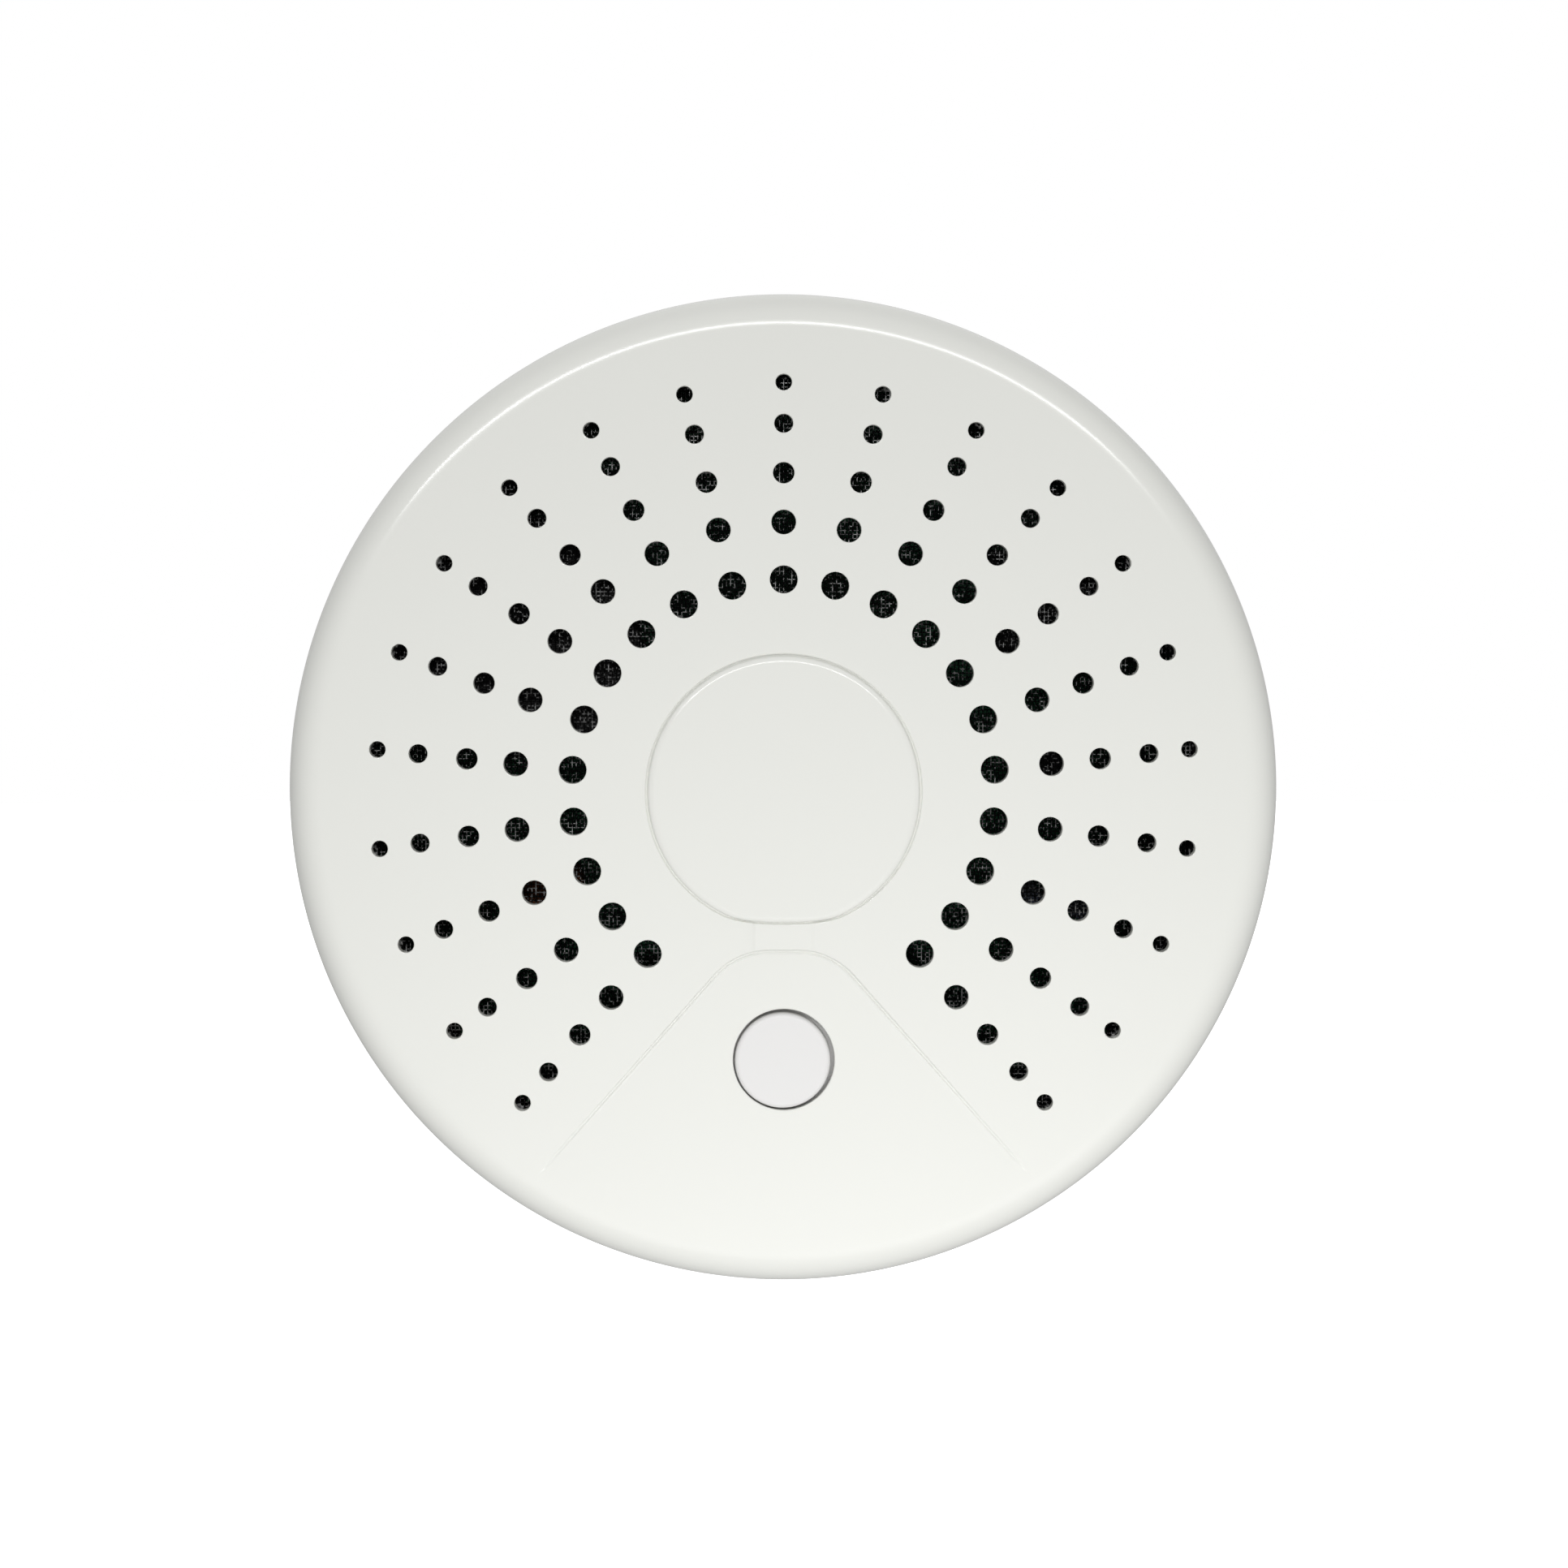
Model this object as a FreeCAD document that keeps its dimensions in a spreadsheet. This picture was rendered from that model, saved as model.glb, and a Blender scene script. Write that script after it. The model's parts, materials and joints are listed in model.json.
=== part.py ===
import FreeCAD, Part
import os
import re
import Sketcher
from FreeCAD import Placement, Rotation, Vector

# A wall-mounted smoke detector, 123 mm across, as an assembly of separate pieces.
# Each piece is modelled face up: local x to the right, local y up on the face, local z the distance
# from the wall. Its Placement then stands it up, so that the face looks along -Y and the wall is y = 0.
# The origin is the centre of the mounting plane.

# ---- driving dimensions: millimetres, degrees and counts ----
DIMENSIONS = {
    # overall case
    "case_radius": 61.5, "cover_front": 36.0, "seam": 22.0, "case_wall": 2.0, "face_radius": 60.7,
    "face_round": 4.0, "inner_round": 2.5, "tongue": 1.6, "seam_gap": 0.3, "cover_inside": 57.9,
    "tongue_outside": 59.2,
    # vent holes in the face
    "ring_one": 26.0, "ring_two": 33.0, "ring_three": 39.0, "ring_four": 45.0, "ring_five": 50.0,
    "hole_one": 3.4, "hole_two": 3.0, "hole_three": 2.6, "hole_four": 2.3, "hole_five": 2.0,
    "spoke_first": -50.0, "spoke_fan": 280.0, "spoke_count": 21,
    # the raised disc and neck, and the sunk wedge: a slope in degrees, and how deep it would be at mid-face
    "disc_radius": 16.8, "disc_flat": 16.2, "disc_rise": 0.45, "neck_half": 3.8, "neck_rise": 0.12,
    "wedge_top": 19.6, "wedge_half": 5.8, "wedge_foot": 50.0, "wedge_foot_half": 32.7,
    "wedge_slope": 0.96, "wedge_deep": 0.78,
    # test button and its switch
    "button_y": -33.0, "button_hole": 6.25, "button_cap": 5.9, "button_top": 35.8, "cap_round": 0.6,
    "button_flange": 7.6,
    "flange_low": 32.6, "flange_high": 33.7, "stem_radius": 2.2, "plunger_radius": 1.75,
    "plunger_top": 27.5, "plunger_low": 24.2, "plunger_bore": 1.8, "bore_low": 22.9,
    "switch_side": 6.0, "switch_top": 26.1, "spring_mean": 5.4, "spring_wire": 0.6, "spring_turns": 6,
    # rear housing
    "rear_low": 1.0, "rear_radius": 59.0, "rear_round": 1.4, "recess_radius": 51.5, "back_low": 6.0,
    "back_high": 7.8, "core_in": 53.3, "core_out": 56.9, "core_low": 2.8,
    "rib_in": 46.0, "rib_out": 47.4, "rib_low": 4.9,
    # battery bay and its door
    "bay_half_long": 24.2, "bay_half_wide": 11.2, "bay_wall": 2.0, "bay_front": 20.5, "bay_roof": 19.1,
    "cell_radius": 5.25, "cell_pitch": 11.2, "cell_axis": 13.55, "cell_long": 44.5, "nub_long": 1.0,
    "cell_end": 0.2, "nub_radius": 1.9, "plate_thick": 0.4, "tab_half": 1.2, "contact_half": 3.5,
    "door_half": 25.8, "door_low": -12.8, "door_ear": 10.8, "door_thick": 1.5,
    "door_gap": 0.3, "hinge_y": 14.0, "hinge_z": 7.4, "barrel_radius": 1.4, "barrel_half": 22.0,
    "pin_radius": 0.9, "pin_half": 24.5, "socket_radius": 0.95, "hinge_roof": 10.6, "hinge_back": 17.2,
    "grip_half": 8.0, "grip_deep": 0.4, "notch_radius": 5.0,
    "pad_half": 20.0, "pad_wide": 9.0, "pad_thick": 0.5,
    # mounting bracket and bayonet
    "bracket_radius": 50.0, "bracket_hole": 32.0, "bracket_rim": 1.6, "plate_low": 2.6, "plate_high": 4.6,
    "screw_x": 40.0, "screw_hole": 2.25, "screw_boss": 6.0, "screw_head": 4.2, "keyway_half": 12.0,
    "hook_count": 4, "hook_first": 36.0, "twist": 18.0, "post_in": 40.0, "post_out": 42.0,
    "post_half_turn": 2.8, "foot_in": 38.6, "foot_out": 43.4, "foot_half_turn": 5.6,
    "foot_low": 1.2, "foot_high": 2.3, "slot_play": 0.4, "slot_turn_play": 0.7,
    # circuit board and screws
    "board_radius": 51.5, "board_low": 21.0, "board_thick": 1.6,
    "board_screw_circle": 44.0, "board_screw_first": 80.0, "standoff_radius": 2.6, "pilot_radius": 1.1,
    "cover_screw_circle": 55.9, "cover_screw_first": 90.0, "column_radius": 2.9, "column_bore": 2.1,
    "column_seat": 16.0, "column_high": 20.0, "column_hole": 1.3, "cover_boss": 2.6, "screw_count": 3,
    "screw_radius": 1.1, "head_radius": 1.9, "head_tall": 1.5, "socket_wide": 0.45, "socket_deep": 0.8,
    # parts soldered to the board
    "radio_x": 33.0, "radio_y": 23.0, "radio_long": 17.0, "radio_wide": 13.0, "radio_thick": 0.8,
    "radio_can": 11.0, "radio_can_tall": 2.2,
    "chip_x": 32.0, "chip_y": 3.0, "chip_side": 7.0, "chip_tall": 1.0,
    "coil_x": -29.0, "coil_y": -12.0, "coil_radius": 3.0, "coil_tall": 5.0, "coil_flange": 4.0,
    "coil_flange_thick": 1.0, "led_x": 11.0, "led_tall": 3.0, "led_rim": 1.9, "led_rim_tall": 0.8,
    # smoke chamber
    "chamber_radius": 21.0, "chamber_floor": 1.8, "chamber_top": 31.0, "screen_thick": 0.4,
    "lid_thick": 1.8, "vane_in": 14.5, "vane_out": 19.6, "vane_count": 20,
    "vane_slant": 3.5, "vane_half": 0.5,
    "optic_radius": 1.5, "optic_long": 4.5, "optic_z": 27.6, "optic_far": 12.0, "lead_radius": 0.25,
    "lead_distance": 11.4, "lead_pitch": 1.27, "lead_hole": 1.2, "emitter_at": 200.0, "receiver_at": 340.0,
    "shield_radius": 2.3, "shield_long": 3.0,
    # sounder
    "sounder_x": -32.8, "sounder_y": 19.0, "sounder_radius": 15.0, "sounder_wall": 1.3, "sounder_top": 30.0,
    "sounder_ledge": 26.0, "ledge_wide": 1.6, "disc_thick": 0.3, "ceramic_radius": 9.5,
    "ceramic_thick": 0.25, "lid_top": 31.4, "sound_hole": 2.5,
    # insect mesh
    "mesh_in": 23.0, "mesh_out": 51.6, "mesh_thick": 0.4, "mesh_button": 8.4,
}
BOARD_TOP = "board_low + board_thick"
SCREW_COUNT = int(DIMENSIONS["screw_count"])
# x, y, radius and height of each capacitor
CAPACITORS = (("29", "-14", "3.15", "8"), ("37.5", "-13", "3.15", "8"), ("42", "-3", "2", "5"))

doc = FreeCAD.newDocument("smoke_detector")
sheet = doc.addObject("Spreadsheet::Sheet", "Dims")
for row, (alias, number) in enumerate(DIMENSIONS.items(), start=1):
    sheet.set(f"A{row}", alias.replace("_", " "))
    sheet.set(f"B{row}", str(number))
    sheet.setAlias(f"B{row}", alias)
doc.recompute()

UPRIGHT = Placement(Vector(0, 0, 0), Rotation(Vector(1, 0, 0), 90))
THROUGH_ALL = 1
RADIAL = "XZ_Plane"
SIDE = "YZ_Plane"


# ---- how sizes reach the objects ----
def bound(expression):
    """The expression with every alias spelt as a cell of the sheet."""
    return re.sub(r"[a-z]\w*", lambda word: f"Dims.{word[0]}" if word[0] in DIMENSIONS else word[0],
                  expression)


def measure(expression):
    """The number that an expression has now."""
    return float(sheet.evalExpression(bound(expression)))


def bind(item, **properties):
    for name, expression in properties.items():
        item.setExpression(name, bound(expression))


def place(item, x="0", y="0", z="0", stand=False):
    """Bind a primitive's position. A piece that is one primitive is stood up at once."""
    if stand:
        item.Placement = UPRIGHT
        x, y, z = x, f"-({z})", y
    for axis, expression in zip("xyz", (x, y, z)):
        item.setExpression(f"Placement.Base.{axis}", bound(expression))
    return item


# ---- Part primitives ----
def cylinder(name, radius, height, x="0", y="0", z="0", stand=False):
    made = doc.addObject("Part::Cylinder", name)
    bind(made, Radius=radius, Height=height)
    return place(made, x, y, z, stand)


def box(name, long, wide, tall, x="0", y="0", z="0", stand=False):
    """A box centred on x and y, standing on z."""
    made = doc.addObject("Part::Box", name)
    bind(made, Length=long, Width=wide, Height=tall)
    return place(made, f"{x} - ({long}) / 2", f"{y} - ({wide}) / 2", z, stand)


def lying(name, radius, length, x, y, z, turn=0.0):
    """A cylinder on its side. It starts at x, y, z and runs in the direction turn, in degrees from x."""
    made = doc.addObject("Part::Cylinder", name)
    bind(made, Radius=radius, Height=length)
    direction = Rotation(Vector(0, 0, 1), turn) * Rotation(Vector(0, 1, 0), 90)
    made.Placement = Placement(Vector(0, 0, 0), direction)
    return place(made, x, y, z)


def fuse(name, pieces, stand=True):
    made = doc.addObject("Part::MultiFuse", name)
    made.Shapes = pieces
    if stand:
        made.Placement = UPRIGHT
    return made


def cut(name, base, tool, stand=True):
    made = doc.addObject("Part::Cut", name)
    made.Base = base
    made.Tool = tool
    if stand:
        made.Placement = UPRIGHT
    return made


def ring(name, outer, inner, tall, x="0", y="0", z="0", stand=True):
    return cut(name, cylinder(f"{name}_blank", outer, tall, x, y, z),
               cylinder(f"{name}_hole", inner, tall, x, y, z), stand)


# ---- PartDesign bodies and sketches ----
def new_body(name):
    made = doc.addObject("PartDesign::Body", name)
    made.Placement = UPRIGHT
    return made


def sketch(body, name, plane="XY_Plane", lift=None, turn=None, slope=None):
    """A sketch on the body's origin plane: lifted off it, turned about z, or sloping down towards +y."""
    made = body.newObject("Sketcher::SketchObject", name)
    origin_plane = next(item for item in body.Origin.OriginFeatures if item.Role == plane)
    made.AttachmentSupport = [(origin_plane, "")]
    made.MapMode = "FlatFace"
    if lift:
        made.setExpression("AttachmentOffset.Base.z", bound(lift))
    if turn:
        made.AttachmentOffset = Placement(Vector(0, 0, 0), Rotation(Vector(0, 1, 0), measure(turn)))
        made.setExpression("AttachmentOffset.Rotation.Angle", bound(turn))
    if slope:
        made.AttachmentOffset = Placement(Vector(0, 0, 0), Rotation(Vector(-1, 0, 0), measure(slope)))
        made.setExpression("AttachmentOffset.Rotation.Angle", bound(slope))
    return made


def bind_point(made, geometry, end, x, y):
    for kind, expression in (("DistanceX", x), ("DistanceY", y)):
        index = made.addConstraint(Sketcher.Constraint(kind, -1, 1, geometry, end, measure(expression)))
        made.setExpression(f"Constraints[{index}]", bound(expression))


def polygon(made, points):
    first = made.GeometryCount
    corners = [Vector(measure(x), measure(y), 0) for x, y in points]
    count = len(corners)
    for index, corner in enumerate(corners):
        made.addGeometry(Part.LineSegment(corner, corners[(index + 1) % count]))
    for index in range(count):
        following = first + (index + 1) % count
        made.addConstraint(Sketcher.Constraint("Coincident", first + index, 2, following, 1))
    for index, (x, y) in enumerate(points):
        bind_point(made, first + index, 1, x, y)
    return made


def rectangle(made, left, right, low, high):
    return polygon(made, [(left, low), (right, low), (right, high), (left, high)])


def circle(made, radius, x="0", y="0"):
    centre = Vector(measure(x), measure(y), 0)
    index = made.addGeometry(Part.Circle(centre, Vector(0, 0, 1), measure(radius)))
    size = made.addConstraint(Sketcher.Constraint("Radius", index, measure(radius)))
    made.setExpression(f"Constraints[{size}]", bound(radius))
    bind_point(made, index, 3, x, y)
    return made


def pad(body, profile, length, centred=False):
    made = body.newObject("PartDesign::Pad", f"{profile.Name}_pad")
    made.Profile = profile
    made.Midplane = centred
    bind(made, Length=length)
    return made


def pocket(body, profile, length=None, upwards=True, centred=False):
    """Remove the profile, upwards or downwards from its plane. With no length it goes through all."""
    made = body.newObject("PartDesign::Pocket", f"{profile.Name}_pocket")
    made.Profile = profile
    made.Midplane = centred
    made.Reversed = upwards
    if length:
        bind(made, Length=length)
    else:
        made.Type = THROUGH_ALL
    return made


def turned(body, profile, kind="Revolution", angle=360.0):
    """A full or partial turn of a radial profile about the z axis, added or cut (Groove)."""
    made = body.newObject(f"PartDesign::{kind}", f"{profile.Name}_turn")
    made.Profile = profile
    made.ReferenceAxis = (profile, ["V_Axis"])
    if isinstance(angle, str):
        bind(made, Angle=angle)
    else:
        made.Angle = angle
    return made


def sector(body, name, inner, outer, low, high, start, angle, kind="Revolution"):
    """A piece of a flat ring, from one azimuth through an angle."""
    profile = rectangle(sketch(body, name, RADIAL, turn=start), inner, outer, low, high)
    return turned(body, profile, kind, angle)


def repeat(body, name, features, count, fan=360.0):
    made = body.newObject("PartDesign::PolarPattern", name)
    made.Originals = features
    z_axis = next(item for item in body.Origin.OriginFeatures if item.Role == "Z_Axis")
    made.Axis = (z_axis, [""])
    bind(made, Occurrences=count)
    if isinstance(fan, str):
        bind(made, Angle=fan)
    else:
        made.Angle = fan
    body.Tip = made
    return made


def polar(radius, azimuth):
    """The x and y expressions of a point on a circle."""
    return f"({radius}) * cos(({azimuth}) * 1 deg)", f"({radius}) * sin(({azimuth}) * 1 deg)"


def spots(circle_radius, first, count):
    """The x and y expressions of points spread evenly round a circle."""
    return [polar(circle_radius, f"{first} + {index * 360.0 / count}") for index in range(count)]


def round_edges(body, name, base, size, chosen, kind="Fillet"):
    """Round or bevel the edges of a feature that chosen(edge) picks."""
    doc.recompute()
    edges = [f"Edge{index}" for index, edge in enumerate(base.Shape.Edges, start=1) if chosen(edge)]
    made = body.newObject(f"PartDesign::{kind}", name)
    made.Base = (base, edges)
    bind(made, **{"Radius" if kind == "Fillet" else "Size": size})
    return made


def ring_edge(radius, height, tolerance=0.01):
    """Picks the edges of one circle about the z axis. A body's features are in its local frame."""
    def chosen(edge):
        middle = edge.valueAt((edge.FirstParameter + edge.LastParameter) / 2)
        return (abs(Vector(middle.x, middle.y, 0).Length - measure(radius)) < tolerance
                and abs(middle.z - measure(height)) < tolerance)
    return chosen


# ---- mounting bracket: stays on the wall ----
def mounting_bracket():
    body = new_body("mounting_bracket")
    profile = polygon(sketch(body, "bracket_section", RADIAL), [
        ("bracket_hole", "0"), ("bracket_hole + bracket_rim", "0"),
        ("bracket_hole + bracket_rim", "plate_low"),
        ("bracket_radius - bracket_rim", "plate_low"), ("bracket_radius - bracket_rim", "0"),
        ("bracket_radius", "0"), ("bracket_radius", "plate_high"), ("bracket_hole", "plate_high")])
    turned(body, profile)
    bosses = sketch(body, "screw_bosses")
    holes = sketch(body, "screw_holes")
    seats = sketch(body, "screw_seats", lift="plate_high - 0.8")
    for side in ("-screw_x", "screw_x"):
        circle(bosses, "screw_boss", side)
        circle(holes, "screw_hole", side)
        circle(seats, "screw_head", side)
    pad(body, bosses, "plate_low + 0.2")
    pocket(body, holes, "plate_high")
    pocket(body, seats, "0.8")
    # two arc slots on the vertical centre line let the bracket be levelled on other hole spacings
    keyway = sector(body, "keyway", "screw_x - screw_hole", "screw_x + screw_hole", "0", "plate_high",
                    "90 - keyway_half", "2 * keyway_half", "Groove")
    repeat(body, "keyways", [keyway], "2")
    # each bayonet slot has a wide mouth for the hook's foot, and a narrow part for its post
    mouth = sector(body, "slot_mouth", "foot_in - slot_play", "foot_out + slot_play", "0", "plate_high",
                   "hook_first + twist - foot_half_turn - slot_turn_play",
                   "2 * (foot_half_turn + slot_turn_play)", "Groove")
    run = sector(body, "slot_run", "post_in - slot_play", "post_out + slot_play", "0", "plate_high",
                 "hook_first - post_half_turn - slot_turn_play", "twist", "Groove")
    repeat(body, "bayonet_slots", [mouth, run], "hook_count")
    return body


# ---- rear housing: the back half of the case ----
def rear_housing():
    body = new_body("rear_housing")
    shell = turned(body, polygon(sketch(body, "housing_section", RADIAL), [
        ("0", "back_low"), ("rib_in", "back_low"), ("rib_in", "rib_low"), ("rib_out", "rib_low"),
        ("rib_out", "back_low"), ("recess_radius", "back_low"), ("recess_radius", "rear_low"),
        ("rear_radius", "rear_low"), ("case_radius", "seam"), ("case_radius - case_wall", "seam"),
        ("core_out", "core_low + 2"), ("core_out", "core_low"), ("core_in", "core_low"),
        ("core_in", "back_high"), ("0", "back_high")]))
    round_edges(body, "back_round", shell, "rear_round", ring_edge("rear_radius", "rear_low"))
    # battery bay, open at the back
    bay_out = rectangle(sketch(body, "bay_outside", lift="back_high - 0.2"), "-bay_half_long - bay_wall",
                        "bay_half_long + bay_wall", "-bay_half_wide - bay_wall", "bay_half_wide + bay_wall")
    pad(body, bay_out, "bay_front - back_high + 0.2")
    trough = rectangle(sketch(body, "hinge_trough", lift="back_high - 0.2"), "-bay_half_long - bay_wall",
                       "bay_half_long + bay_wall", "bay_half_wide", "hinge_back")
    pad(body, trough, "hinge_roof - back_high + 0.2")
    bay_in = rectangle(sketch(body, "bay_inside"), "-bay_half_long", "bay_half_long",
                       "-bay_half_wide", "bay_half_wide")
    pocket(body, bay_in, "bay_roof")
    doorway = polygon(sketch(body, "doorway"), [
        ("-door_half - door_gap", "door_low - door_gap"), ("door_half + door_gap", "door_low - door_gap"),
        ("door_half + door_gap", "door_ear + 0.5"), ("barrel_half + door_gap", "door_ear + 0.5"),
        ("barrel_half + door_gap", "hinge_y + barrel_radius + door_gap"),
        ("-barrel_half - door_gap", "hinge_y + barrel_radius + door_gap"),
        ("-barrel_half - door_gap", "door_ear + 0.5"), ("-door_half - door_gap", "door_ear + 0.5")])
    pocket(body, doorway, "back_high")
    barrel_room = rectangle(sketch(body, "barrel_room"), "-barrel_half - door_gap", "barrel_half + door_gap",
                            "hinge_y - barrel_radius - door_gap", "hinge_y + barrel_radius + door_gap")
    pocket(body, barrel_room, "hinge_z + barrel_radius + door_gap")
    pocket(body, circle(sketch(body, "hinge_sockets", SIDE), "socket_radius", "hinge_y", "hinge_z"),
           "2 * (pin_half + door_gap)", centred=True)
    pocket(body, circle(sketch(body, "finger_notch"), "notch_radius", "0", "door_low - 1"), "back_low + 0.9")
    # slots in the bay's front wall pass the contact tabs to the board
    tabs = sketch(body, "tab_slots", lift="bay_roof - 0.1")
    for sign in ("-", ""):
        for cell in ("-cell_pitch / 2", "cell_pitch / 2"):
            near = f"{sign}(bay_half_long - plate_thick - 0.1)"
            far = f"{sign}(bay_half_long + 0.1)"
            left, right = (far, near) if sign else (near, far)
            rectangle(tabs, left, right, f"{cell} - tab_half - 0.1", f"{cell} + tab_half + 0.1")
    pocket(body, tabs, "bay_front - bay_roof + 0.2")
    # screw columns, counterbored from the back
    x, y = polar("cover_screw_circle", "cover_screw_first")
    column = pad(body, circle(sketch(body, "column", lift="rear_low + 0.2"), "column_radius", x, y),
                 "column_high - rear_low - 0.2")
    bore = pocket(body, circle(sketch(body, "column_bore_circle"), "column_bore", x, y), "column_seat")
    through = pocket(body, circle(sketch(body, "column_hole_circle"), "column_hole", x, y), "seam")
    repeat(body, "columns", [column, bore, through], "screw_count")
    # board standoffs with pilot holes
    x, y = polar("board_screw_circle", "board_screw_first")
    standoff = pad(body, circle(sketch(body, "standoff", lift="back_high - 0.2"), "standoff_radius", x, y),
                   "board_low - back_high + 0.2")
    pilot = pocket(body, circle(sketch(body, "standoff_pilot", lift="back_high + 1"), "pilot_radius", x, y),
                   "board_low - back_high")
    repeat(body, "standoffs", [standoff, pilot], "screw_count")
    # bayonet hooks: a post through the slot and a foot behind the bracket's plate
    post = sector(body, "hook_post", "post_in", "post_out", "foot_high - 0.2", "back_low + 0.2",
                  "hook_first - post_half_turn", "2 * post_half_turn")
    foot = sector(body, "hook_foot", "foot_in", "foot_out", "foot_low", "foot_high",
                  "hook_first - foot_half_turn", "2 * foot_half_turn")
    repeat(body, "hooks", [post, foot], "hook_count")
    return body


# ---- front cover: the visible face ----
def front_cover():
    body = new_body("front_cover")
    shell = turned(body, polygon(sketch(body, "cover_section", RADIAL), [
        ("0", "cover_front - case_wall"), ("cover_inside", "cover_front - case_wall"),
        ("cover_inside", "seam - tongue"), ("tongue_outside", "seam - tongue"),
        ("tongue_outside", "seam + seam_gap"), ("case_radius", "seam + seam_gap"),
        ("face_radius", "cover_front"), ("0", "cover_front")]))
    rounded = round_edges(body, "rim_round", shell, "face_round", ring_edge("face_radius", "cover_front"))
    round_edges(body, "rim_round_inside", rounded, "inner_round",
                ring_edge("cover_inside", "cover_front - case_wall"))
    # the disc is cut flat along its lower edge
    pad(body, circle(sketch(body, "disc", lift="cover_front"), "disc_radius"), "disc_rise")
    pocket(body, rectangle(sketch(body, "disc_chord", lift="cover_front"), "-disc_radius", "disc_radius",
                           "-disc_radius - 1", "-disc_flat"), "1")
    pad(body, rectangle(sketch(body, "neck", lift="cover_front"), "-neck_half", "neck_half",
                        "-wedge_top", "-disc_flat"), "neck_rise")
    # the wedge is sunk deepest at its top edge, and its floor climbs to the face towards the rim
    wedge = polygon(sketch(body, "wedge", lift="cover_front - wedge_deep", slope="wedge_slope"), [
        ("-wedge_half", "-wedge_top"), ("-wedge_foot_half", "-wedge_foot"),
        ("wedge_foot_half", "-wedge_foot"), ("wedge_half", "-wedge_top")])
    pocket(body, wedge, "2")
    opening = circle(sketch(body, "button_opening", lift="seam + 4"), "button_hole", "0", "button_y")
    pocket(body, opening, "20")
    # screw bosses hang from the inside of the face, beyond the last ring of holes
    x, y = polar("cover_screw_circle", "cover_screw_first")
    boss = pad(body, circle(sketch(body, "cover_boss_circle", lift="column_high"), "cover_boss", x, y),
               "cover_front - case_wall - column_high + 0.2")
    pilot = pocket(body, circle(sketch(body, "boss_pilot"), "pilot_radius", x, y), "seam + 8")
    repeat(body, "cover_bosses", [boss, pilot], "screw_count")
    # vent holes: one spoke of five, repeated round the fan
    spoke = sketch(body, "spoke", lift="seam + 4")
    for ring_name in ("one", "two", "three", "four", "five"):
        circle(spoke, f"hole_{ring_name} / 2", *polar(f"ring_{ring_name}", "spoke_first"))
    repeat(body, "vent_holes", [pocket(body, spoke, "20")], "spoke_count", "spoke_fan")
    return body


def insect_mesh():
    low = "cover_front - case_wall - mesh_thick"
    annulus = ring("mesh_annulus", "mesh_out", "mesh_in", "mesh_thick", z=low, stand=False)
    window = cylinder("mesh_window", "mesh_button", "3 * mesh_thick", "0", "button_y", f"{low} - mesh_thick")
    return cut("insect_mesh", annulus, window)


# ---- test button, its spring and its switch ----
def test_button():
    body = new_body("test_button")
    section = polygon(sketch(body, "button_section", RADIAL), [
        ("0", "plunger_top"), ("stem_radius", "plunger_top"), ("stem_radius", "flange_low"),
        ("button_flange", "flange_low"), ("button_flange", "flange_high"), ("button_cap", "flange_high"),
        ("button_cap", "button_top"), ("0", "button_top")])
    shape = turned(body, section)
    round_edges(body, "cap_round", shape, "cap_round", ring_edge("button_cap", "button_top"))
    return place(body, "0", "button_y", "0", stand=True)


def button_spring():
    helix = doc.addObject("Part::Helix", "spring_path")
    tall = "flange_low - board_low - board_thick - spring_wire"
    bind(helix, Radius="spring_mean", Height=tall, Pitch=f"({tall}) / spring_turns")
    wire = doc.addObject("Part::Circle", "spring_wire_section")
    wire.Placement = Placement(Vector(0, 0, 0), Rotation(Vector(1, 0, 0), 90))
    bind(wire, Radius="spring_wire / 2")
    place(wire, "spring_mean")
    made = doc.addObject("Part::Sweep", "button_spring")
    made.Sections = [wire]
    made.Spine = (helix, [])
    made.Solid = True
    made.Frenet = True
    return place(made, "0", "button_y", "board_low + board_thick + spring_wire / 2", stand=True)


def switch_body():
    height = "switch_top - board_low - board_thick"
    block = box("switch_block", "switch_side", "switch_side", height, "0", "button_y", BOARD_TOP)
    bore = cylinder("switch_bore", "plunger_bore", "switch_top", "0", "button_y", "bore_low")
    return cut("switch_body", block, bore)


def switch_plunger():
    return cylinder("switch_plunger", "plunger_radius", "plunger_top - plunger_low", "0", "button_y",
                    "plunger_low", stand=True)


# ---- battery door, cells and contacts ----
def battery_door():
    body = new_body("battery_door")
    panel = polygon(sketch(body, "door_panel", lift="back_low"), [
        ("-door_half", "door_low"), ("door_half", "door_low"), ("door_half", "door_ear"),
        ("barrel_half", "door_ear"), ("barrel_half", "hinge_y"), ("-barrel_half", "hinge_y"),
        ("-barrel_half", "door_ear"), ("-door_half", "door_ear")])
    pad(body, panel, "door_thick")
    for name, radius, half in (("barrel", "barrel_radius", "barrel_half"),
                               ("pins", "pin_radius", "pin_half")):
        pad(body, circle(sketch(body, name, SIDE), radius, "hinge_y", "hinge_z"), f"2 * {half}", centred=True)
    grips = sketch(body, "grips", lift="back_low - 1")
    for index in range(3):
        low = f"door_low + 1.6 + {2 * index}"
        rectangle(grips, "-grip_half", "grip_half", low, f"{low} + 1")
    pocket(body, grips, "1 + grip_deep")
    return body


def door_pad():
    return box("door_pad", "2 * pad_half", "2 * pad_wide", "pad_thick", "0", "0", "back_low + door_thick",
               stand=True)


def cell_rows():
    """The two cells lie side by side: the first has its positive end at the right, the second at the left."""
    return ((1, "cell_pitch / 2"), (-1, "-cell_pitch / 2"))


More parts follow.
